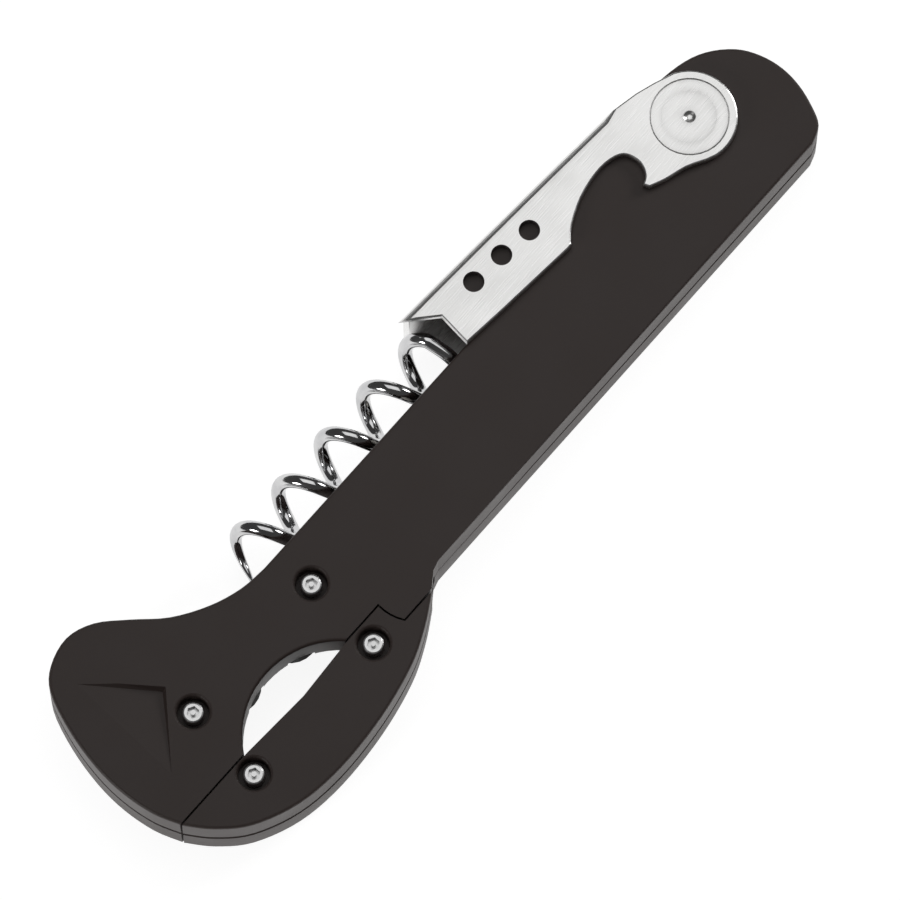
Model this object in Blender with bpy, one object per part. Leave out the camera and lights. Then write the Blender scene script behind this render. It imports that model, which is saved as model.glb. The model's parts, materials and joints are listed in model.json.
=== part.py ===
"""Waiter's corkscrew with a four-wheel foil cutter in its head, as an assembly.

The knife-shaped handle is two plastic shells.  A U-section steel lever folds over its upper edge, a
worm folds into a channel in that edge, and the lower part of the head is a jaw that swings open to
let a bottle neck in between four cutting wheels.

Plan coordinates are millimetres: x runs along the handle towards the lever's pivot, y towards the
worm and lever side, z up through the thickness.  The plan origin is the middle of the neck opening.
The built model is shifted so that its origin is the bottom centre of its bounding box.
"""
import math

import bmesh
import bpy
from mathutils import Matrix, Vector

MM = 0.001

# Plan shift that puts the origin in the middle of the model's bounding box
CENTRE_X = 46.3
CENTRE_Y = 9.35

# Thicknesses through the object
LEVER_WIDTH = 15.0
CHEEK = 1.2
SIDE_GAP = 0.3
PART_GAP = 0.3
MID_Z = LEVER_WIDTH / 2
HANDLE_LOW = CHEEK + SIDE_GAP
HANDLE_HIGH = LEVER_WIDTH - HANDLE_LOW
SHELL_EDGE_ROUND = 1.3
PARTING_CHAMFER = 0.4

# Handle
HANDLE_BOTTOM_Y = -2.5
HANDLE_TOP_Y = 16.0
SEAM_Y = -0.15

# Neck opening between the cradle in the body and the jaw
NECK_RADIUS = 14.2
NECK = (0.0, -8.9)
LIP_RELIEF = 1.8

# Jaw hinge
JAW_PIVOT = (26.1, -1.1)
JAW_STEP_RADIUS = 7.55
JAW_LINE_Y = -4.55
JAW_SWING = 65.0
JAW_PIN_RADIUS = 1.1
JAW_ARM_THICK = 3.0
JAW_ARM_HALF = 2.0
JAW_EYE_RADIUS = 2.3

# Screws: two in the body and two in the jaw
BODY_SCREWS = ((14.45, 9.25), (-11.43, 9.55))
JAW_SCREWS = ((13.65, -3.52), (-12.53, -3.25))
SCREW_SHANK = 0.9
SCREW_HEAD = 1.6
COUNTERBORE = 2.45
COUNTERBORE_DEPTH = 2.4
COUNTERBORE_LIP = 0.45
SOCKET_FLAT = 0.85
SOCKET_PIN = 0.38
NUT_FLAT = 2.0

# Cutting wheels
WHEEL_RADIUS = 4.3
WHEEL_THICK = 1.0
WHEEL_PROUD = 0.4
WHEEL_AXLE = 1.0
CRADLE_WHEEL_ANGLES = (-12.0, 25.0)
JAW_WHEELS_X = (6.9, -3.1)

# Worm
WIRE_RADIUS = 1.1
WORM_RADIUS = 3.5
WORM_PITCH = 9.5
WORM_AXIS_Y = 20.1
WORM_ROOT_X = 52.1
WORM_TURNS = 4.45
WORM_LEAD_OUT = 0.2
WORM_PIVOT = (42.0, 13.2)
WORM_EYE_RADIUS = 2.4
WORM_PIN_RADIUS = 1.0
WORM_CAVITY_RADIUS = 14.1
WORM_ROOT_REACH = 16.25
WORM_CHANNEL_HALF = 4.95
WORM_CHANNEL_Y = 14.9
WORM_CHANNEL_X = 6.8

# Lever
LEVER_PIVOT = (104.7, 13.7)
LEVER_END_RADIUS = 7.2
LEVER_HOLES = ((75.86, 20.15), (70.28, 20.76), (64.48, 21.17))
LEVER_HOLE_RADIUS = 1.6
WEB_START_X = 53.8
WEB_END_X = 96.0
BEND_RADIUS = 1.6
RIVET_RADIUS = 2.0
RIVET_HEAD = 5.6
HEAD_RECESS = 6.0
RECESS_DEPTH = 0.55


# ---------------------------------------------------------------- plan geometry

def arc(centre, radius, start, end, steps):
    """Points from the start angle to the end angle, in degrees, both ends included."""
    points = []
    for i in range(steps + 1):
        angle = math.radians(start + (end - start) * i / steps)
        points.append((centre[0] + radius * math.cos(angle), centre[1] + radius * math.sin(angle)))
    return points


def circle(centre, radius, steps=24):
    """A full circle as a closed outline, anticlockwise."""
    return arc(centre, radius, 0.0, 360.0, steps)[:-1]


def hexagon(centre, flat, steps=24):
    """A hexagon with the given centre-to-flat distance, sampled at equal angles."""
    points = []
    for i in range(steps):
        angle = 2 * math.pi * i / steps
        off_flat = (angle + math.pi / 6) % (math.pi / 3) - math.pi / 6
        radius = flat / math.cos(off_flat)
        points.append((centre[0] + radius * math.cos(angle), centre[1] + radius * math.sin(angle)))
    return points


def rectangle(x_low, y_low, x_high, y_high):
    """An anticlockwise rectangle."""
    return [(x_low, y_low), (x_high, y_low), (x_high, y_high), (x_low, y_high)]


def smooth(points, steps):
    """A Catmull-Rom curve through the points, of any dimension, both ends included."""
    curve = []
    last = len(points) - 1
    for i in range(last):
        before = points[max(i - 1, 0)]
        after = points[min(i + 2, last)]
        for k in range(steps):
            t = k / steps
            curve.append(tuple(
                0.5 * (2 * b + (c - a) * t + (2 * a - 5 * b + 4 * c - d) * t * t
                       + (3 * b - a - 3 * c + d) * t ** 3)
                for a, b, c, d in zip(before, points[i], points[i + 1], after)))
    curve.append(tuple(points[last]))
    return curve


def turned(points, centre, degrees):
    """The points rotated in plan about a centre."""
    angle = math.radians(degrees)
    cos, sin = math.cos(angle), math.sin(angle)
    result = []
    for x, y in points:
        dx, dy = x - centre[0], y - centre[1]
        result.append((centre[0] + dx * cos - dy * sin, centre[1] + dx * sin + dy * cos))
    return result


def head_flank():
    """The head's outer edge below the seam, from its left end round to the hinge's flank."""
    return smooth([(-25.2, -0.45), (-22.6, -4.3), (-18.4, -8.2), (-11.5, -11.2), (-3.4, -12.25),
                   (6.2, -11.7), (14.8, -9.95), (20.6, -7.55), (25.25, -4.85)], 5)


def body_outline(cradle_radius):
    """The closed outline of the handle and upper head, and the numbers of points in its outer edge
    and in its cradle."""
    butt = smooth([(113.9, HANDLE_BOTTOM_Y), (116.7, -1.3), (118.3, 1.4), (119.5, 4.9), (119.9, 8.5),
                   (119.3, 12.2), (117.6, 15.7), (114.2, 18.8), (109.9, 20.5), (103.3, 21.3),
                   (95.0, 21.3)], 4)
    shoulder = [(63.9, 23.25), (62.6, 22.2), (62.6, 17.2), (61.4, HANDLE_TOP_Y)]
    head = smooth([(11.8, 16.05), (7.2, 16.6), (2.2, 18.4), (-2.9, 21.6), (-7.0, 25.8),
                   (-10.9, 29.4), (-15.2, 30.95), (-19.8, 29.9), (-22.9, 27.2), (-25.4, 21.3),
                   (-26.9, 15.0), (-27.3, 9.4), (-26.7, 4.0), (-25.3, SEAM_Y)], 4)
    outer = [(29.3, HANDLE_BOTTOM_Y)] + butt + shoulder + head
    half = math.degrees(math.acos((SEAM_Y - NECK[1]) / cradle_radius))
    cradle = arc(NECK, cradle_radius, 90 + half, 90 - half, 20)
    step_top = math.degrees(math.asin((SEAM_Y - JAW_PIVOT[1]) / JAW_STEP_RADIUS))
    step_low = math.degrees(math.asin((JAW_LINE_Y - JAW_PIVOT[1]) / JAW_STEP_RADIUS))
    step = arc(JAW_PIVOT, JAW_STEP_RADIUS, 180 - step_top, 180 - step_low, 4)
    flank = [(25.45, JAW_LINE_Y), (27.7, -2.95)]
    return outer + cradle + step + flank, len(outer), len(cradle)


def jaw_outline():
    """The closed outline of the jaw, and how much of it is an outer edge."""
    outer = head_flank()
    line_y = JAW_LINE_Y - PART_GAP
    seam_y = SEAM_Y - PART_GAP
    radius = JAW_STEP_RADIUS + PART_GAP
    step_low = math.degrees(math.asin((line_y - JAW_PIVOT[1]) / radius))
    step_top = math.degrees(math.asin((seam_y - JAW_PIVOT[1]) / radius))
    step = arc(JAW_PIVOT, radius, 180 - step_low, 180 - step_top, 4)
    edge = [(10.9, seam_y), (1.0, seam_y - 0.6), (-10.9, seam_y)]
    return outer + step + edge, len(outer)


def lever_top(x):
    """The lever's upper edge, a very shallow curve from its toe to its pivot end."""
    return 25.75 - 0.046 * (x - 52.4) - 0.00022 * (x - 52.4) ** 2


def lever_outline():
    """One cheek of the lever: foot, belly, opener notch and rounded pivot end."""
    foot = [(52.5, 25.75), (57.4, 21.3), (56.8, 15.8)]
    belly = [(63.8, 15.1), (77.6, 13.95), (78.3, 14.0)]
    opener = smooth([(78.5, 14.25), (80.6, 15.9), (84.7, 17.65), (88.9, 18.4), (91.9, 18.2),
                     (93.9, 17.2), (94.5, 15.2), (94.15, 13.7), (93.3, 12.6), (92.2, 12.1)], 3)
    hook = smooth([(92.6, 11.1), (95.1, 10.0), (98.5, 8.95), (101.3, 7.4)], 3)
    end = arc(LEVER_PIVOT, LEVER_END_RADIUS, -105.0, 60.0, 18)
    top = [(105.2, 21.15), (102.2, 22.1), (99.0, 22.75)]
    top += [(x, lever_top(x)) for x in (96.0, 88.0, 80.0, 72.0, 64.0, 58.0)]
    return foot + belly + opener + hook + end + top


def arm_outline(margin):
    """The jaw's steel arm, from its eye to the fork at the first jaw screw, grown by a margin."""
    screw = Vector(JAW_SCREWS[0]) - Vector(JAW_PIVOT)
    fork_x = screw.length
    end_x = fork_x + 1.5 + margin
    half = JAW_ARM_HALF + margin
    eye = JAW_EYE_RADIUS + margin
    meet = math.degrees(math.asin(half / eye))
    points = arc((0.0, 0.0), eye, meet, 360 - meet, 14)
    points += [(end_x, -half)]
    if margin == 0:
        slot = SCREW_SHANK + PART_GAP
        points += [(end_x, -slot)] + arc((fork_x, 0.0), slot, 270.0, 90.0, 8) + [(end_x, slot)]
    points += [(end_x, half)]
    heading = math.degrees(math.atan2(screw.y, screw.x))
    placed = [(x + JAW_PIVOT[0], y + JAW_PIVOT[1]) for x, y in points]
    return turned(placed, JAW_PIVOT, heading)


def cradle_wheels():
    """Plan centres of the two wheels that stand proud of the cradle."""
    reach = NECK_RADIUS - WHEEL_PROUD + WHEEL_RADIUS
    centres = []
    for degrees in CRADLE_WHEEL_ANGLES:
        angle = math.radians(degrees)
        centres.append((NECK[0] + reach * math.sin(angle), NECK[1] + reach * math.cos(angle)))
    return centres


def jaw_wheels():
    """Plan centres of the two wheels that stand proud of the jaw's edge."""
    y = SEAM_Y - PART_GAP + WHEEL_PROUD - WHEEL_RADIUS
    return [(x, y) for x in JAW_WHEELS_X]


# ---------------------------------------------------------------- mesh building

def world(x, y, z):
    """Plan millimetres to model metres."""
    return Vector(((x - CENTRE_X) * MM, (y - CENTRE_Y) * MM, z * MM))


def prism(outline, z_low, z_high):
    """A flat outline raised into a closed solid."""
    bm = bmesh.new()
    base = bm.faces.new([bm.verts.new(world(x, y, z_low)) for x, y in outline])
    raised = bmesh.ops.extrude_face_region(bm, geom=[base])
    top = [item for item in raised["geom"] if isinstance(item, bmesh.types.BMVert)]
    bmesh.ops.translate(bm, verts=top, vec=(0, 0, (z_high - z_low) * MM))
    bmesh.ops.recalc_face_normals(bm, faces=bm.faces[:])
    return bm


def sleeve(outer, inner, z_low, z_high):
    """A solid between two outlines with the same number of points."""
    bm = bmesh.new()
    count = len(outer)
    rings = []
    for outline, z in ((outer, z_low), (outer, z_high), (inner, z_high), (inner, z_low)):
        rings.append([bm.verts.new(world(x, y, z)) for x, y in outline])
    for ring in range(4):
        here, there = rings[ring], rings[(ring + 1) % 4]
        for i in range(count):
            k = (i + 1) % count
            bm.faces.new((here[i], here[k], there[k], there[i]))
    bmesh.ops.recalc_face_normals(bm, faces=bm.faces[:])
    return bm


def lathe(profile, centre, steps=24, ring=False):
    """A profile of (radius, z) turned about a vertical axis, with flat ends.  As a ring, the
    profile is closed on itself instead."""
    bm = bmesh.new()
    rings = []
    for radius, z in profile:
        rings.append([bm.verts.new(world(x, y, z)) for x, y in circle(centre, radius, steps)])
    pairs = list(zip(rings[:-1], rings[1:]))
    if ring:
        pairs.append((rings[-1], rings[0]))
    else:
        bm.faces.new(rings[0])
        bm.faces.new(rings[-1])
    for here, there in pairs:
        for i in range(steps):
            k = (i + 1) % steps
            bm.faces.new((here[i], here[k], there[k], there[i]))
    bmesh.ops.recalc_face_normals(bm, faces=bm.faces[:])
    return bm


def tube(path, radii, sides):
    """A round wire along a path of plan points, its frame carried along without twist."""
    bm = bmesh.new()
    points = [world(*point) for point in path]
    side = Vector((0, 0, 1))
    rings = []
    for i, point in enumerate(points):
        ahead = points[min(i + 1, len(points) - 1)]
        behind = points[max(i - 1, 0)]
        forward = (ahead - behind).normalized()
        side = (side - forward * side.dot(forward)).normalized()
        across = forward.cross(side)
        ring = []
        for k in range(sides):
            angle = 2 * math.pi * k / sides
            offset = side * math.cos(angle) + across * math.sin(angle)
            ring.append(bm.verts.new(point + offset * radii[i] * MM))
        rings.append(ring)
    for here, there in zip(rings[:-1], rings[1:]):
        for k in range(sides):
            n = (k + 1) % sides
            bm.faces.new((here[k], here[n], there[n], there[k]))
    bm.faces.new(rings[0][::-1])
    bm.faces.new(rings[-1])
    bmesh.ops.recalc_face_normals(bm, faces=bm.faces[:])
    return bm


def round_face_edges(bm, z, width, segments, runs=None):
    """Round the edges in the plane z, or only those along runs of outline points, each given as
    its first point and its number of points.  One segment makes a chamfer."""
    level = z * MM
    edges = []
    for edge in bm.edges:
        if all(abs(vert.co.z - level) < 1e-7 for vert in edge.verts):
            edges.append(edge)
    if runs:
        bm.verts.index_update()
        verts = sorted({v for e in edges for v in e.verts}, key=lambda v: v.index)
        chosen = [set(verts[first:first + count]) for first, count in runs]
        edges = [edge for edge in edges if any(run.issuperset(edge.verts) for run in chosen)]
    bmesh.ops.bevel(bm, geom=edges, offset=width * MM, segments=segments, profile=0.5,
                    affect="EDGES", clamp_overlap=True)
    return bm


def material(name, colour, roughness, metallic):
    """A Principled material, made once."""
    found = bpy.data.materials.get(name)
    if found:
        return found
    made = bpy.data.materials.new(name)
    made.use_nodes = True
    shader = made.node_tree.nodes["Principled BSDF"]
    shader.inputs["Base Color"].default_value = (*colour, 1.0)
    shader.inputs["Roughness"].default_value = roughness
    shader.inputs["Metallic"].default_value = metallic
    return made


FINISHES = {
    "handle_plastic": ((0.045, 0.035, 0.033), 0.42, 0.0),
    "polished_steel": ((0.80, 0.80, 0.80), 0.18, 1.0),
    "satin_steel": ((0.62, 0.62, 0.63), 0.35, 1.0),
    "wheel_steel": ((0.55, 0.56, 0.58), 0.22, 1.0),
    "washer_nylon": ((0.72, 0.70, 0.64), 0.5, 0.0),
}


def add_part(name, bm, finish, empty=None, smooth_angle=40.0):
    """Turn a bmesh into a named object, with its origin on its pivot if it has one."""
    mesh = bpy.data.meshes.new(name)
    bm.to_mesh(mesh)
    bm.free()
    mesh.shade_smooth()
    mesh.set_sharp_from_angle(angle=math.radians(smooth_angle))
    mesh.materials.append(material(finish, *FINISHES[finish]))
    part = bpy.data.objects.new(name, mesh)
    bpy.context.scene.collection.objects.link(part)
    if empty:
        mesh.transform(Matrix.Translation(-empty.location))
        part.parent = empty
    return part


def add_cutter(name, bm):
    """A hidden solid that a Boolean takes away."""
    mesh = bpy.data.meshes.new(name)
    bm.to_mesh(mesh)
    bm.free()
    cutter = bpy.data.objects.new("cut_" + name, mesh)
    bpy.context.scene.collection.objects.link(cutter)
    cutter.hide_render = True
    cutter.display_type = "WIRE"
    return cutter


def cut(part, cutters):
    """Subtract each cutter from the part."""
    for cutter in cutters:
        modifier = part.modifiers.new(cutter.name, "BOOLEAN")
        modifier.operation = "DIFFERENCE"
        modifier.solver = "EXACT"
        modifier.object = cutter


def pivot_empty(name, centre):
    """An empty on a vertical joint axis."""
    empty = bpy.data.objects.new(name, None)
    bpy.context.scene.collection.objects.link(empty)
    empty.location = world(centre[0], centre[1], MID_Z)
    return empty


# ---------------------------------------------------------------- cutters

def counterbore_profile():
    """A slightly tapered bore with a rounded lip that runs out over the face."""
    profile = [(COUNTERBORE - 0.1, HANDLE_HIGH - COUNTERBORE_DEPTH)]
    lip = arc((COUNTERBORE + COUNTERBORE_LIP, HANDLE_HIGH - COUNTERBORE_LIP), COUNTERBORE_LIP,
              180.0, 120.0, 2)
    slope = (lip[-1][0] + 0.45, lip[-1][1] + 0.15)
    return profile + lip + [slope, (slope[0], LEVER_WIDTH + 1)]


def screw_cutters(name, centres):
    """Through hole, front counterbore and back nut pocket for each screw."""
    cutters = []
    for i, centre in enumerate(centres):
        tag = f"{name}_{i + 1}"
        hole = prism(circle(centre, SCREW_SHANK + PART_GAP, 12), 0.0, LEVER_WIDTH)
        cutters.append(add_cutter(tag + "_hole", hole))
        bore = lathe(counterbore_profile(), centre)
        cutters.append(add_cutter(tag + "_bore", bore))
        pocket = prism(hexagon(centre, NUT_FLAT + PART_GAP), 0.0, HANDLE_LOW + 2.3)
        cutters.append(add_cutter(tag + "_nut", pocket))
    return cutters


def wheel_cutters(name, centres):
    """A slot for each wheel and a blind hole for each axle."""
    cutters = []
    for i, centre in enumerate(centres):
        tag = f"{name}_{i + 1}"
        half = WHEEL_THICK / 2 + 0.4
        slot = prism(circle(centre, WHEEL_RADIUS + 0.35), MID_Z - half, MID_Z + half)
        cutters.append(add_cutter(tag + "_slot", slot))
        hole = prism(circle(centre, WHEEL_AXLE + PART_GAP, 12), MID_Z - 3.3, MID_Z + 3.3)
        cutters.append(add_cutter(tag + "_axle", hole))
    return cutters


def arm_swing_cutters():
    """The room that the jaw's arm sweeps inside the body, from closed to fully open."""
    half = JAW_ARM_THICK / 2 + PART_GAP
    low, high = MID_Z - half, MID_Z + half
    cutters = []
    for degrees in (0.0, JAW_SWING):
        outline = turned(arm_outline(PART_GAP), JAW_PIVOT, degrees)
        cutters.append(add_cutter(f"arm_at_{degrees:.0f}", prism(outline, low, high)))
    reach = arc(JAW_PIVOT, 15.2, 186.0, 196.0 + JAW_SWING, 16)
    cutters.append(add_cutter("arm_sweep", prism([JAW_PIVOT] + reach, low, high)))
    return cutters


def worm_cutters():
    """The channel along the upper edge and the hollow that the worm's root turns in."""
    low, high = MID_Z - WORM_CHANNEL_HALF, MID_Z + WORM_CHANNEL_HALF
    channel = rectangle(WORM_CHANNEL_X, WORM_CHANNEL_Y, WORM_PIVOT[0], 26.0)
    root = arc(WORM_PIVOT, WORM_ROOT_REACH, -60.0, 60.0, 16)
    left = arc(WORM_PIVOT, WORM_CAVITY_RADIUS, 100.0, 275.0, 20)
    pin = circle(WORM_PIVOT, WORM_PIN_RADIUS + PART_GAP, 16)
    pin_half = WORM_CHANNEL_HALF + 0.65
    return [add_cutter("worm_channel", prism(channel, low, high)),
            add_cutter("worm_cavity", prism(root + left, low, high)),
            add_cutter("worm_pin_hole", prism(pin, MID_Z - pin_half, MID_Z + pin_half))]


def facet_cutters():
    """A shallow three-cornered thumb facet on each face of the head, deepest at its apex, with
    sides that lean outwards."""
    depth = 1.1
    lean = 1.3
    corners = ((-11.9, 15.1), (-19.6, 25.3), (-20.6, 5.6))
    middle = [sum(corner[i] for corner in corners) / 3 for i in range(2)]
    wide = [[middle[i] + (corner[i] - middle[i]) * lean for i in range(2)] for corner in corners]
    cutters = []
    for name, face, outwards in (("front", HANDLE_HIGH, 1.0), ("back", HANDLE_LOW, -1.0)):
        bm = bmesh.new()
        floor_z = [face - outwards * depth, face + outwards * 0.02, face + outwards * 0.02]
        floor = [bm.verts.new(world(*corners[i], floor_z[i])) for i in range(3)]
        cap = [bm.verts.new(world(*wide[i], face + outwards * 1.5)) for i in range(3)]
        bm.faces.new(floor)
        bm.faces.new(cap)
        for i in range(3):
            k = (i + 1) % 3
            bm.faces.new((floor[i], floor[k], cap[k], cap[i]))
        bmesh.ops.recalc_face_normals(bm, faces=bm.faces[:])
        cutters.append(add_cutter(name + "_facet", bm))
    return cutters


def liner_outline(margin):
    """The steel liner plate between the shells at the lever's end of the handle."""
    low = HANDLE_BOTTOM_Y + 2.0 - margin
    end = arc((LEVER_PIVOT[0], 9.0), 11.0 + margin, -52.0, 42.0, 8)
    return ([(60.3 - margin, low)] + end
            + [(99.5, 18.2 + margin), (96.6 - margin, 10.4 + margin), (60.3 - margin, 10.4 + margin)])


def lever_fit_cutters():
    """Rivet hole, washer recesses, liner pocket and moulding cores at the lever's end."""
    cutters = [add_cutter("rivet_hole", prism(circle(LEVER_PIVOT, RIVET_RADIUS + PART_GAP, 24),
                                              0.0, LEVER_WIDTH))]
    for name, low, high in (("front", HANDLE_HIGH - 0.9, LEVER_WIDTH), ("back", 0.0, HANDLE_LOW + 0.9)):
        cutters.append(add_cutter(name + "_washer", prism(circle(LEVER_PIVOT, 4.6), low, high)))
    cutters.append(add_cutter("liner", prism(liner_outline(PART_GAP), MID_Z - 1.3, MID_Z + 1.3)))
    for i in range(3):
        x = 62.5 + 11.5 * i
        core = rectangle(x, -0.8, x + 9.5, 9.5)
        cutters.append(add_cutter(f"core_{i + 1}", prism(core, MID_Z - 4.2, MID_Z + 4.2)))
    return cutters


# ---------------------------------------------------------------- body

def spring_outline(margin):
    """The leaf spring that bears on the worm's eye, with a round root for its rivet."""
    root, tip = (25.3, 8.4), (37.8, 12.0)
    heading = math.degrees(math.atan2(tip[1] - root[1], tip[0] - root[0]))
    length = math.dist(root, tip)
    root_radius, half = 2.3 + margin, 0.7 + margin
    meet = math.degrees(math.asin(half / root_radius))
    points = arc(root, root_radius, meet, 360 - meet, 14)
    points += [(root[0] + length, root[1] - half), (root[0] + length, root[1] + half)]
    return turned(points, root, heading), root


def moulded_shell(outline, front, rounded, chamfered):
    """A front or back half, with rounded face edges and a chamfer along the parting line."""
    if front:
        low, high = MID_Z + PART_GAP / 2, HANDLE_HIGH
        face, parting = high, low
    else:
        low, high = HANDLE_LOW, MID_Z - PART_GAP / 2
        face, parting = low, high
    shell = prism(outline, low, high)
    round_face_edges(shell, face, SHELL_EDGE_ROUND, 4, rounded)
    return round_face_edges(shell, parting, PARTING_CHAMFER, 1, chamfered)


def make_body():
    """The two handle shells and the pieces fixed to them."""
    cutters = screw_cutters("body_screw", BODY_SCREWS) + wheel_cutters("cradle_wheel", cradle_wheels())
    cutters += arm_swing_cutters() + worm_cutters() + facet_cutters() + lever_fit_cutters()
    pin_half = WORM_CHANNEL_HALF
    hole = prism(circle(JAW_PIVOT, JAW_PIN_RADIUS + PART_GAP, 20), MID_Z - pin_half, MID_Z + pin_half)
    cutters.append(add_cutter("jaw_pin_hole", hole))
    spring, root = spring_outline(PART_GAP)
    cutters.append(add_cutter("spring_slot", prism(spring, MID_Z - 1.3, MID_Z + 1.3)))
    rivet = circle(root, 1.0 + PART_GAP, 20)
    cutters.append(add_cutter("spring_rivet_hole", prism(rivet, MID_Z - 4.3, MID_Z + 4.3)))
    for name, front, relief in (("front_shell", True, 0.0), ("back_shell", False, LIP_RELIEF)):
        outline, outer, cradle = body_outline(NECK_RADIUS + relief)
        shell = moulded_shell(outline, front, [(0, outer), (outer, cradle)], [(0, outer)])
        cut(add_part(name, shell, "handle_plastic"), cutters)


def make_inner_pieces():
    """Liner, leaf spring and the pins, washers and rivet that hold the moving parts."""
    liner = add_part("liner_plate", prism(liner_outline(0.0), MID_Z - 1.0, MID_Z + 1.0), "satin_steel")
    holes = [add_cutter("liner_rivet", prism(circle(LEVER_PIVOT, RIVET_RADIUS + PART_GAP, 24), 5, 10))]
    for i in range(3):
        holes.append(add_cutter(f"liner_hole_{i + 1}", prism(circle((67.2 + 11.5 * i, 4.8), 2.6), 5, 10)))
    cut(liner, holes)
    spring, root = spring_outline(0.0)
    leaf = add_part("worm_spring", prism(spring, MID_Z - 1.0, MID_Z + 1.0), "satin_steel")
    cut(leaf, [add_cutter("leaf_rivet", prism(circle(root, 1.0 + PART_GAP, 20), 5, 10))])
    pins = (("spring_rivet", root, 1.0, 4.0), ("jaw_hinge_pin", JAW_PIVOT, JAW_PIN_RADIUS, 4.65),
            ("worm_pivot_pin", WORM_PIVOT, WORM_PIN_RADIUS, 5.3))
    for name, centre, radius, half in pins:
        profile = [(radius - 0.2, MID_Z - half), (radius, MID_Z - half + 0.2),
                   (radius, MID_Z + half - 0.2), (radius - 0.2, MID_Z + half)]
        add_part(name, lathe(profile, centre, 16), "polished_steel")
    spacers = (("worm_spacer_front", MID_Z + 2.0, MID_Z + 4.6),
               ("worm_spacer_back", MID_Z - 4.6, MID_Z - 2.0))
    for name, low, high in spacers:
        ring = sleeve(circle(WORM_PIVOT, 2.1, 16), circle(WORM_PIVOT, 1.3, 16), low, high)
        add_part(name, ring, "washer_nylon")
    washers = (("pivot_washer_front", HANDLE_HIGH - 0.6, HANDLE_HIGH),
               ("pivot_washer_back", HANDLE_LOW, HANDLE_LOW + 0.6))
    for name, low, high in washers:
        ring = sleeve(circle(LEVER_PIVOT, 4.3), circle(LEVER_PIVOT, RIVET_RADIUS + PART_GAP), low, high)
        add_part(name, ring, "washer_nylon")


def make_lever_rivet():
    """The lever's pivot rivet: a wide, slightly crowned head with a centre dimple on each side."""
    floor = LEVER_WIDTH - RECESS_DEPTH + PART_GAP
    front = [(RIVET_RADIUS, floor), (RIVET_HEAD, floor), (RIVET_HEAD, floor + 0.12),
             (RIVET_HEAD - 0.3, floor + 0.25), (1.2, floor + 0.25), (0.6, floor - 0.3)]
    back = [(radius, LEVER_WIDTH - z) for radius, z in reversed(front)]
    add_part("lever_rivet", lathe(back + front, LEVER_PIVOT, 32), "polished_steel", smooth_angle=30.0)


def make_screw_sets(name, centres, empty=None):
    """Shouldered screws with six-sided sockets, and the nuts that they pull on."""
    for i, centre in enumerate(centres):
        seat = HANDLE_HIGH - COUNTERBORE_DEPTH + PART_GAP
        low = HANDLE_LOW + 0.5
        top = HANDLE_HIGH - 0.3
        profile = [(SCREW_SHANK - 0.15, low), (SCREW_SHANK, low + 0.15), (SCREW_SHANK, seat),
                   (SCREW_HEAD, seat), (SCREW_HEAD, top - 0.25), (SCREW_HEAD - 0.1, top - 0.08),
                   (SCREW_HEAD - 0.3, top)]
        screw = add_part(f"{name}_screw_{i + 1}", lathe(profile, centre), "satin_steel", empty)
        socket = sleeve(hexagon(centre, SOCKET_FLAT, 12), circle(centre, SOCKET_PIN, 12),
                        top - 1.0, top + 1.0)
        cut(screw, [add_cutter(f"{name}_socket_{i + 1}", socket)])
        nut = sleeve(hexagon(centre, NUT_FLAT), circle(centre, SCREW_SHANK + PART_GAP, 24),
                     HANDLE_LOW + 0.4, HANDLE_LOW + 2.0)
        add_part(f"{name}_nut_{i + 1}", nut, "satin_steel", empty)


def make_wheels(name, centres, empty=None):
    """Cutting wheels with sharpened rims, each free to turn on a short axle."""
    for i, centre in enumerate(centres):
        hub = WHEEL_AXLE + PART_GAP
        half = WHEEL_THICK / 2
        rim = WHEEL_RADIUS - 0.9
        profile = [(hub, MID_Z - half), (rim, MID_Z - half), (WHEEL_RADIUS, MID_Z - 0.06),
                   (WHEEL_RADIUS, MID_Z + 0.06), (rim, MID_Z + half), (hub, MID_Z + half)]
        own = pivot_empty(f"{name}_wheel_{i + 1}_axis", centre)
        if empty:
            own.location = own.location - empty.location
            own.parent = empty
        wheel = add_part(f"{name}_wheel_{i + 1}", lathe(profile, centre, 24, ring=True), "wheel_steel")
        wheel.data.transform(Matrix.Translation(-world(centre[0], centre[1], MID_Z)))
        wheel.parent = own
        axle = prism(circle(centre, WHEEL_AXLE, 16), MID_Z - 3.0, MID_Z + 3.0)
        add_part(f"{name}_axle_{i + 1}", axle, "satin_steel", empty)


# ---------------------------------------------------------------- moving parts

def make_jaw():
    """The swinging jaw: two shells screwed together over a steel hinge arm."""
    empty = pivot_empty("jaw_axis", JAW_PIVOT)
    outline, outer = jaw_outline()
    half = JAW_ARM_THICK / 2
    cutters = screw_cutters("jaw_screw", JAW_SCREWS) + wheel_cutters("jaw_wheel", jaw_wheels())
    pocket = prism(arm_outline(PART_GAP), MID_Z - half - PART_GAP, MID_Z + half + PART_GAP)
    cutters.append(add_cutter("arm_pocket", pocket))
    for name, front in (("jaw_front_shell", True), ("jaw_back_shell", False)):
        shell = moulded_shell(outline, front, [(0, outer)], [(0, outer)])
        cut(add_part(name, shell, "handle_plastic", empty), cutters)
    arm = add_part("jaw_arm", prism(arm_outline(0.0), MID_Z - half, MID_Z + half), "satin_steel", empty)
    eye = prism(circle(JAW_PIVOT, JAW_PIN_RADIUS + PART_GAP, 20), 4, 11)
    cut(arm, [add_cutter("arm_eye", eye)])
    make_screw_sets("jaw", JAW_SCREWS, empty)
    make_wheels("jaw", jaw_wheels(), empty)


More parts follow.
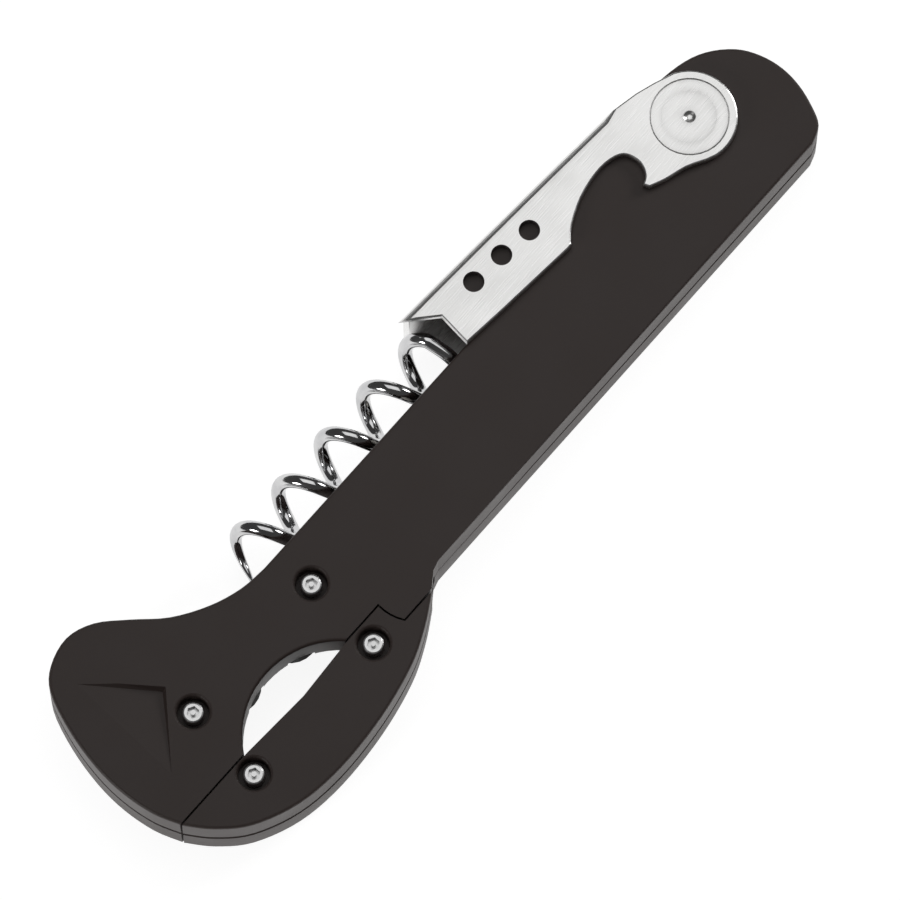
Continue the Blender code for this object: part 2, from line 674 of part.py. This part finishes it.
def worm_path():
    """The wire's centre line, from the sharp tip to the free end of the pivot eye."""
    steps = 15
    first = round(WORM_TURNS * steps)
    last = round(WORM_LEAD_OUT * steps)
    coil = []
    for i in range(-first, last + 1):
        turn = i / steps
        angle = 2 * math.pi * turn
        coil.append((WORM_ROOT_X + WORM_PITCH * turn, WORM_AXIS_Y + WORM_RADIUS * math.cos(angle),
                     MID_Z + WORM_RADIUS * math.sin(angle)))
    eye_y = WORM_PIVOT[1] - WORM_EYE_RADIUS
    bend = smooth([coil[-1], (54.6, 17.4, MID_Z + 2.6), (54.2, 14.1, MID_Z + 1.1),
                   (52.2, 11.7, MID_Z + 0.2), (49.2, eye_y, MID_Z), (46.0, eye_y, MID_Z)], 3)
    eye = [(x, y, MID_Z) for x, y in arc(WORM_PIVOT, WORM_EYE_RADIUS, -90.0, -350.0, 14)]
    return coil + bend[1:] + eye


def make_worm():
    """The worm: one wire, drawn to a point, coiled, and bent back into an eye on its pin."""
    empty = pivot_empty("worm_axis", WORM_PIVOT)
    path = worm_path()
    taper = 8
    radii = [WIRE_RADIUS] * len(path)
    for i in range(taper):
        radii[i] = WIRE_RADIUS * (0.12 + 0.88 * (i / taper) ** 0.8)
    add_part("worm", tube(path, radii, 8), "polished_steel", empty, 60.0)


def bend_cutters():
    """The outer bend radius along both upper edges of the lever, running out past the web."""
    stations = [(50.0, BEND_RADIUS)] + [(x, BEND_RADIUS) for x in (58.0, 64.0, 72.0, 80.0, 88.0)]
    stations += [(WEB_END_X, BEND_RADIUS), (WEB_END_X + 3.5, 0.3)]
    cutters = []
    for name, face, inwards in (("front", LEVER_WIDTH, -1.0), ("back", 0.0, 1.0)):
        bm = bmesh.new()
        sections = []
        for x, radius in stations:
            top = lever_top(x)
            section = arc((top - radius, radius), radius, 0.0, -90.0, 6)
            section += [(top - radius, -1.0), (top + 1.0, -1.0), (top + 1.0, radius)]
            sections.append([bm.verts.new(world(x, y, face + inwards * depth)) for y, depth in section])
        for here, there in zip(sections[:-1], sections[1:]):
            for i in range(len(here)):
                k = (i + 1) % len(here)
                bm.faces.new((here[i], here[k], there[k], there[i]))
        bm.faces.new(sections[0])
        bm.faces.new(sections[-1])
        bmesh.ops.recalc_face_normals(bm, faces=bm.faces[:])
        cutters.append(add_cutter(name + "_bend", bm))
    return cutters


def make_lever():
    """The U-section lever: two equal cheeks joined by a web along their upper edge."""
    empty = pivot_empty("lever_axis", LEVER_PIVOT)
    bm = prism(lever_outline(), 0.0, LEVER_WIDTH)
    for z in (0.0, LEVER_WIDTH):
        round_face_edges(bm, z, 0.25, 2)
    lever = add_part("lever", bm, "polished_steel", empty)
    web = 1.2
    inner = [(x, lever_top(x) - web) for x in (WEB_END_X, 88.0, 80.0, 72.0, 64.0, WEB_START_X)]
    inside = [(48.0, 5.0), (115.0, 5.0), (115.0, 27.0), (WEB_END_X, 27.0)] + inner
    inside += [(WEB_START_X, 27.0), (48.0, 27.0)]
    cutters = [add_cutter("lever_inside", prism(inside, CHEEK, LEVER_WIDTH - CHEEK))] + bend_cutters()
    for i, centre in enumerate(LEVER_HOLES):
        hole = prism(circle(centre, LEVER_HOLE_RADIUS, 24), -1.0, LEVER_WIDTH + 1.0)
        cutters.append(add_cutter(f"lever_hole_{i + 1}", hole))
    bore = prism(circle(LEVER_PIVOT, RIVET_RADIUS + PART_GAP, 24), -1.0, LEVER_WIDTH + 1.0)
    cutters.append(add_cutter("lever_bore", bore))
    for name, low, high in (("front", LEVER_WIDTH - RECESS_DEPTH, LEVER_WIDTH + 1),
                            ("back", -1.0, RECESS_DEPTH)):
        recess = prism(circle(LEVER_PIVOT, HEAD_RECESS, 32), low, high)
        cutters.append(add_cutter(name + "_head_recess", recess))
    cut(lever, cutters)


def clear_scene():
    """Start from nothing."""
    for item in list(bpy.data.objects):
        bpy.data.objects.remove(item, do_unlink=True)


def main():
    """Build every piece."""
    clear_scene()
    make_body()
    make_inner_pieces()
    make_lever_rivet()
    make_screw_sets("body", BODY_SCREWS)
    make_wheels("cradle", cradle_wheels())
    make_jaw()
    make_worm()
    make_lever()
    bpy.context.view_layer.update()


main()
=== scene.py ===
"""Looks for the waiter's corkscrew: fine metal pieces, procedural materials, camera and lights.

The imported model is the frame.  Every length is in metres and every place comes from the frame's
nodes and joints.
"""
import json
import math

import bmesh
import bpy
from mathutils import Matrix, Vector


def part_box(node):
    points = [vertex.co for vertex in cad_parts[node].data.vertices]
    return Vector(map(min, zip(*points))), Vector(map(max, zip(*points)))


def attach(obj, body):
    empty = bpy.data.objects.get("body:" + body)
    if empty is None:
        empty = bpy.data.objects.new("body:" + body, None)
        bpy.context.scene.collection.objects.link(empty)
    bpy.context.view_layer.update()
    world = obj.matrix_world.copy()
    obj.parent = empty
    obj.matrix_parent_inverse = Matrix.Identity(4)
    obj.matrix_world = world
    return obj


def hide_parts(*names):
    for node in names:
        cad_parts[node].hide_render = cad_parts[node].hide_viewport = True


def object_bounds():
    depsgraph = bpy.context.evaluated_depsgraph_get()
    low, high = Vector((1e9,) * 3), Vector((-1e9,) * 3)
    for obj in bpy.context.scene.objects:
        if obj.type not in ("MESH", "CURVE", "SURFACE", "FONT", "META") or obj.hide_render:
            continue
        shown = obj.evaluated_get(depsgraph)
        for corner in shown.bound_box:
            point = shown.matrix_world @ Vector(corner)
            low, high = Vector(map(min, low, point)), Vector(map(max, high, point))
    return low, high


MM = 0.001
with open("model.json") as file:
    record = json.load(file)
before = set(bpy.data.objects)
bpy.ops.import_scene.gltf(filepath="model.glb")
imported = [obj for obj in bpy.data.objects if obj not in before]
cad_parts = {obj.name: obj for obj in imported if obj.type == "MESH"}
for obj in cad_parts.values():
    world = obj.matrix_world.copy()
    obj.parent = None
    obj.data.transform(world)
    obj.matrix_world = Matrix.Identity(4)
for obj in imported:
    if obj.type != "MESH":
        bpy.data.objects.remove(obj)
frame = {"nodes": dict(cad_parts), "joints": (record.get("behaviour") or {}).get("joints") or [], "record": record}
NODES = frame["nodes"]
JOINT_AT = {joint["name"]: Vector(joint["pos_m"]) for joint in frame["joints"]}
CAD_LOW, CAD_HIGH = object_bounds()

# The height of the handle's front face
FRONT_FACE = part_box("front_shell")[1].z


# ---------------------------------------------------------------- small helpers

def add_piece(name, bm, look, body, replaced=(), smooth_angle=35.0):
    """Turn a bmesh into a piece that rides on a body and may stand for CAD nodes."""
    bmesh.ops.recalc_face_normals(bm, faces=bm.faces[:])
    mesh = bpy.data.meshes.new(name)
    bm.to_mesh(mesh)
    bm.free()
    mesh.shade_smooth()
    mesh.set_sharp_from_angle(angle=math.radians(smooth_angle))
    mesh.materials.append(look)
    piece = bpy.data.objects.new(name, mesh)
    bpy.context.scene.collection.objects.link(piece)
    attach(piece, body)
    if replaced:
        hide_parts(*replaced)
    return piece


def circle_ring(bm, centre, radius, z, sides):
    """A ring of vertices in a plane of constant height."""
    ring = []
    for i in range(sides):
        a = 2 * math.pi * i / sides
        ring.append(bm.verts.new((centre.x + radius * math.cos(a), centre.y + radius * math.sin(a), z)))
    return ring


def skin(bm, rings):
    """Join a run of vertex rings into one closed solid with flat ends."""
    for here, there in zip(rings[:-1], rings[1:]):
        for i in range(len(here)):
            k = (i + 1) % len(here)
            bm.faces.new((here[i], here[k], there[k], there[i]))
    bm.faces.new(rings[0])
    bm.faces.new(rings[-1])
    return bm


def lathe(profile, centre, sides):
    """A turned solid from (radius, height) pairs in metres."""
    bm = bmesh.new()
    return skin(bm, [circle_ring(bm, centre, radius, z, sides) for radius, z in profile])


def eased(points, steps):
    """A smooth curve through the points."""
    padded = [points[0]] + list(points) + [points[-1]]
    curve = []
    for a, b, c, d in zip(padded, padded[1:], padded[2:], padded[3:]):
        for i in range(steps):
            t = i / steps
            curve.append((b * 2 + (c - a) * t + (a * 2 - b * 5 + c * 4 - d) * t * t
                          + (b * 3 - a - c * 3 + d) * t * t * t) / 2)
    curve.append(points[-1])
    return curve


def wire(path, radii, sides):
    """A round wire along a path, with its own radius at every point."""
    bm = bmesh.new()
    rings = []
    side = Vector((0.0, 0.0, 1.0))
    for i, point in enumerate(path):
        along = (path[min(i + 1, len(path) - 1)] - path[max(i - 1, 0)]).normalized()
        side = (side - along * side.dot(along)).normalized()
        other = along.cross(side)
        ring = []
        for k in range(sides):
            a = 2 * math.pi * k / sides
            ring.append(bm.verts.new(point + (side * math.cos(a) + other * math.sin(a)) * radii[i]))
        rings.append(ring)
    return skin(bm, rings)


# ---------------------------------------------------------------- materials

def new_material(name):
    """An empty node material: its nodes, a link function and its Principled shader."""
    made = bpy.data.materials.new(name)
    made.use_nodes = True
    nodes = made.node_tree.nodes
    return made, nodes, made.node_tree.links.new, nodes["Principled BSDF"]


def mapped_noise(nodes, link, scale, detail, stretch=(1.0, 1.0, 1.0)):
    """Noise in object space, with a stretch along each axis.  Scale is in cells per metre."""
    place = nodes.new("ShaderNodeTexCoord")
    mapping = nodes.new("ShaderNodeMapping")
    mapping.inputs["Scale"].default_value = stretch
    noise = nodes.new("ShaderNodeTexNoise")
    noise.inputs["Scale"].default_value = scale
    noise.inputs["Detail"].default_value = detail
    link(place.outputs["Object"], mapping.inputs["Vector"])
    link(mapping.outputs["Vector"], noise.inputs["Vector"])
    return noise.outputs["Fac"]


def spread(nodes, link, value, low, high):
    """Map a noise value onto the range from low to high."""
    ranged = nodes.new("ShaderNodeMapRange")
    ranged.inputs["From Min"].default_value = 0.3
    ranged.inputs["From Max"].default_value = 0.7
    ranged.inputs["To Min"].default_value = low
    ranged.inputs["To Max"].default_value = high
    link(value, ranged.inputs["Value"])
    return ranged.outputs["Result"]


def two_colours(nodes, link, value, dark, light):
    """A colour ramp between two colours."""
    ramp = nodes.new("ShaderNodeValToRGB")
    ramp.color_ramp.elements[0].position = 0.3
    ramp.color_ramp.elements[0].color = (*dark, 1.0)
    ramp.color_ramp.elements[1].position = 0.7
    ramp.color_ramp.elements[1].color = (*light, 1.0)
    link(value, ramp.inputs["Fac"])
    return ramp.outputs["Color"]


def add_bump(nodes, link, shader, height, strength, distance):
    """Drive the shader's normal from a height."""
    bump = nodes.new("ShaderNodeBump")
    bump.inputs["Strength"].default_value = strength
    bump.inputs["Distance"].default_value = distance
    link(height, bump.inputs["Height"])
    link(bump.outputs["Normal"], shader.inputs["Normal"])


def moulded_plastic():
    """Dark warm charcoal plastic with a fine spark-eroded grain and faint cloudy sheen."""
    made, nodes, link, shader = new_material("moulded_charcoal")
    cloud = mapped_noise(nodes, link, 90.0, 3.0)
    grain = mapped_noise(nodes, link, 5200.0, 2.0)
    link(two_colours(nodes, link, cloud, (0.0415, 0.0295, 0.0262), (0.0470, 0.0345, 0.0308)),
         shader.inputs["Base Color"])
    link(spread(nodes, link, cloud, 0.44, 0.52), shader.inputs["Roughness"])
    shader.inputs["Specular IOR Level"].default_value = 0.36
    add_bump(nodes, link, shader, grain, 0.22, 0.00004)
    return made


def lever_steel():
    """Bright nickel-plated steel with a very fine lengthwise brushing."""
    made, nodes, link, shader = new_material("plated_steel")
    brushed = mapped_noise(nodes, link, 1.0, 4.0, (220.0, 9000.0, 9000.0))
    cloud = mapped_noise(nodes, link, 120.0, 2.0)
    shader.inputs["Metallic"].default_value = 1.0
    link(two_colours(nodes, link, cloud, (0.75, 0.747, 0.738), (0.83, 0.827, 0.818)),
         shader.inputs["Base Color"])
    link(spread(nodes, link, brushed, 0.24, 0.36), shader.inputs["Roughness"])
    add_bump(nodes, link, shader, brushed, 0.05, 0.00002)
    return made


def wire_steel():
    """Polished worm wire with faint drawing lines."""
    made, nodes, link, shader = new_material("polished_wire")
    cloud = mapped_noise(nodes, link, 400.0, 3.0)
    shader.inputs["Metallic"].default_value = 1.0
    link(two_colours(nodes, link, cloud, (0.52, 0.52, 0.53), (0.66, 0.66, 0.66)),
         shader.inputs["Base Color"])
    link(spread(nodes, link, cloud, 0.07, 0.16), shader.inputs["Roughness"])
    add_bump(nodes, link, shader, cloud, 0.04, 0.00005)
    return made


def satin_steel(name, dark, light, low, high):
    """Machined steel for screws, nuts, pins, wheels and plates."""
    made, nodes, link, shader = new_material(name)
    cloud = mapped_noise(nodes, link, 900.0, 4.0)
    shader.inputs["Metallic"].default_value = 1.0
    link(two_colours(nodes, link, cloud, (dark,) * 3, (light,) * 3), shader.inputs["Base Color"])
    link(spread(nodes, link, cloud, low, high), shader.inputs["Roughness"])
    add_bump(nodes, link, shader, cloud, 0.06, 0.00003)
    return made


def nylon():
    """Off-white nylon washers."""
    made, nodes, link, shader = new_material("washer_nylon")
    cloud = mapped_noise(nodes, link, 700.0, 2.0)
    link(two_colours(nodes, link, cloud, (0.62, 0.60, 0.54), (0.72, 0.70, 0.64)),
         shader.inputs["Base Color"])
    link(spread(nodes, link, cloud, 0.42, 0.55), shader.inputs["Roughness"])
    add_bump(nodes, link, shader, cloud, 0.1, 0.00004)
    return made


LOOKS = {
    "handle_plastic": moulded_plastic(),
    "lever_steel": lever_steel(),
    "worm_steel": wire_steel(),
    "satin_steel": satin_steel("satin_steel", 0.60, 0.78, 0.24, 0.36),
    "wheel_steel": satin_steel("ground_steel", 0.50, 0.66, 0.16, 0.28),
    "washer_nylon": nylon(),
}


def dress_nodes():
    """Give every CAD node that stays the look of its material slot."""
    for part in frame["record"]["subparts"]:
        node = NODES[part["node"]]
        node.data.materials.clear()
        node.data.materials.append(LOOKS[part["material_slot"]])


# ---------------------------------------------------------------- fine pieces

# Worm, as offsets from its hinge in millimetres where a name ends in MM
WIRE_RADIUS = 1.1 * MM
COIL_RADIUS = 3.5 * MM
COIL_PITCH = 9.5 * MM
COIL_TURNS = 4.45
COIL_LEAD_OUT = 0.2
COIL_STEPS_PER_TURN = 40
TIP_TURNS = 0.5
TIP_SHARPNESS = 0.05
WORM_ROOT_MM = (10.1, 6.9, 0.0)
WORM_BEND_MM = ((12.5, 4.2, 2.6), (12.2, 0.9, 1.1), (10.2, -1.5, 0.2), (7.2, -2.4, 0.0),
                (4.0, -2.4, 0.0))
BEND_STEPS = 9
EYE_RADIUS = 2.4 * MM
EYE_START = -90.0
EYE_SWEEP = -260.0
EYE_STEPS = 40
WIRE_SIDES = 20

# Half of the rivet's head, from its rim inwards: radius, and drop below the face, in millimetres
RIVET_HEAD_MM = ((2.0, -0.24), (5.86, -0.24), (5.86, -0.10), (5.81, -0.03), (5.70, 0.0), (4.2, 0.0),
                 (4.16, -0.012), (4.08, -0.012), (4.04, 0.0), (0.95, 0.0), (0.86, -0.03),
                 (0.62, -0.26), (0.3, -0.36))
RIVET_SIDES = 96


def add_worm():
    """The round drawn wire of the worm: tapered tip, coil, bent root and eye around its pin."""
    pivot = JOINT_AT["worm_hinge"]
    root = pivot + Vector(WORM_ROOT_MM) * MM
    first = round(COIL_TURNS * COIL_STEPS_PER_TURN)
    last = round(COIL_LEAD_OUT * COIL_STEPS_PER_TURN)
    coil = []
    radii = []
    for i in range(-first, last + 1):
        turn = i / COIL_STEPS_PER_TURN
        a = 2 * math.pi * turn
        coil.append(root + Vector((COIL_PITCH * turn, COIL_RADIUS * math.cos(a),
                                   COIL_RADIUS * math.sin(a))))
        full = min(1.0, (i + first) / (TIP_TURNS * COIL_STEPS_PER_TURN))
        radii.append(WIRE_RADIUS * (TIP_SHARPNESS + (1.0 - TIP_SHARPNESS) * full ** 0.75))
    bend = eased([coil[-1]] + [pivot + Vector(corner) * MM for corner in WORM_BEND_MM], BEND_STEPS)
    eye = []
    for i in range(EYE_STEPS + 1):
        a = math.radians(EYE_START + EYE_SWEEP * i / EYE_STEPS)
        eye.append(pivot + Vector((EYE_RADIUS * math.cos(a), EYE_RADIUS * math.sin(a), 0.0)))
    path = coil + bend[1:] + eye
    radii += [WIRE_RADIUS] * (len(path) - len(radii))
    add_piece("round_worm", wire(path, radii, WIRE_SIDES), LOOKS["worm_steel"], "worm_wire",
              ["worm"], 40.0)


def add_rivet():
    """The lever's pivot rivet: two thin turned heads, each with a small centre dimple."""
    centre = JOINT_AT["lever_hinge"]
    low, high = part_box("lever_rivet")
    front = [(radius * MM, high.z + drop * MM) for radius, drop in RIVET_HEAD_MM]
    back = [(radius * MM, low.z - drop * MM) for radius, drop in reversed(RIVET_HEAD_MM)]
    add_piece("turned_rivet", lathe(back + front, centre, RIVET_SIDES), LOOKS["lever_steel"], "handle",
              ["lever_rivet"], 30.0)


# ---------------------------------------------------------------- stage, lights and camera

CAMERA_AZIMUTH = -49.0
CAMERA_ELEVATION = 75.0
LENS = 400.0
SENSOR = 36.0
VIEW_WIDTH = 0.13235
AIM = Vector((-0.00322, -0.00215, FRONT_FACE))


def from_angles(azimuth, elevation):
    """The direction from the object towards a viewer at that azimuth and elevation."""
    a, e = math.radians(azimuth), math.radians(elevation)
    return Vector((math.sin(a) * math.cos(e), -math.cos(a) * math.cos(e), math.sin(e)))


def add_camera():
    """A long lens at the photograph's angle."""
    data = bpy.data.cameras.new("camera")
    data.lens = LENS
    data.sensor_width = SENSOR
    camera = bpy.data.objects.new("camera", data)
    bpy.context.scene.collection.objects.link(camera)
    back = from_angles(CAMERA_AZIMUTH, CAMERA_ELEVATION)
    distance = VIEW_WIDTH * LENS / SENSOR
    camera.location = AIM + back * distance
    camera.rotation_euler = (-back).to_track_quat("-Z", "Y").to_euler()
    data.clip_start = distance * 0.05
    data.clip_end = distance * 20
    bpy.context.scene.camera = camera


def add_light(name, azimuth, elevation, distance, size, power):
    """A square softbox aimed at the object."""
    data = bpy.data.lights.new(name, "AREA")
    data.shape = "SQUARE"
    data.size = size
    data.energy = power
    light = bpy.data.objects.new(name, data)
    bpy.context.scene.collection.objects.link(light)
    back = from_angles(azimuth, elevation)
    light.location = back * distance
    light.rotation_euler = (-back).to_track_quat("-Z", "Y").to_euler()


def add_floor():
    """A plain white floor under the lowest face."""
    bm = bmesh.new()
    half = 1.5
    corners = [(-half, -half), (half, -half), (half, half), (-half, half)]
    bm.faces.new([bm.verts.new((x, y, CAD_LOW.z)) for x, y in corners])
    mesh = bpy.data.meshes.new("floor")
    bm.to_mesh(mesh)
    bm.free()
    made, nodes, link, shader = new_material("floor_paper")
    cloud = mapped_noise(nodes, link, 30.0, 2.0)
    link(two_colours(nodes, link, cloud, (0.34, 0.34, 0.34), (0.36, 0.36, 0.36)),
         shader.inputs["Base Color"])
    shader.inputs["Roughness"].default_value = 0.8
    shader.inputs["Specular IOR Level"].default_value = 0.2
    shader.inputs["Emission Color"].default_value = (1.0, 1.0, 1.0, 1.0)
    shader.inputs["Emission Strength"].default_value = 0.9
    mesh.materials.append(made)
    floor = bpy.data.objects.new("floor", mesh)
    bpy.context.scene.collection.objects.link(floor)


def add_world():
    """Plain grey surroundings."""
    world = bpy.data.worlds.new("studio")
    bpy.context.scene.world = world
    world.use_nodes = True
    background = world.node_tree.nodes["Background"]
    background.inputs["Color"].default_value = (1.0, 1.0, 1.0, 1.0)
    background.inputs["Strength"].default_value = 0.06


def add_stage():
    """Floor, surroundings, lights and camera."""
    bpy.context.scene.view_settings.view_transform = "Standard"
    add_floor()
    add_world()
    add_light("overhead", 131.0, 72.0, 0.9, 0.75, 1.8)
    add_light("left_box", -100.0, 24.0, 1.0, 0.3, 2.0)
    add_light("right_box", 78.0, 28.0, 1.0, 0.3, 2.4)
    add_camera()


# ---------------------------------------------------------------- build

dress_nodes()
add_worm()
add_rivet()
add_stage()
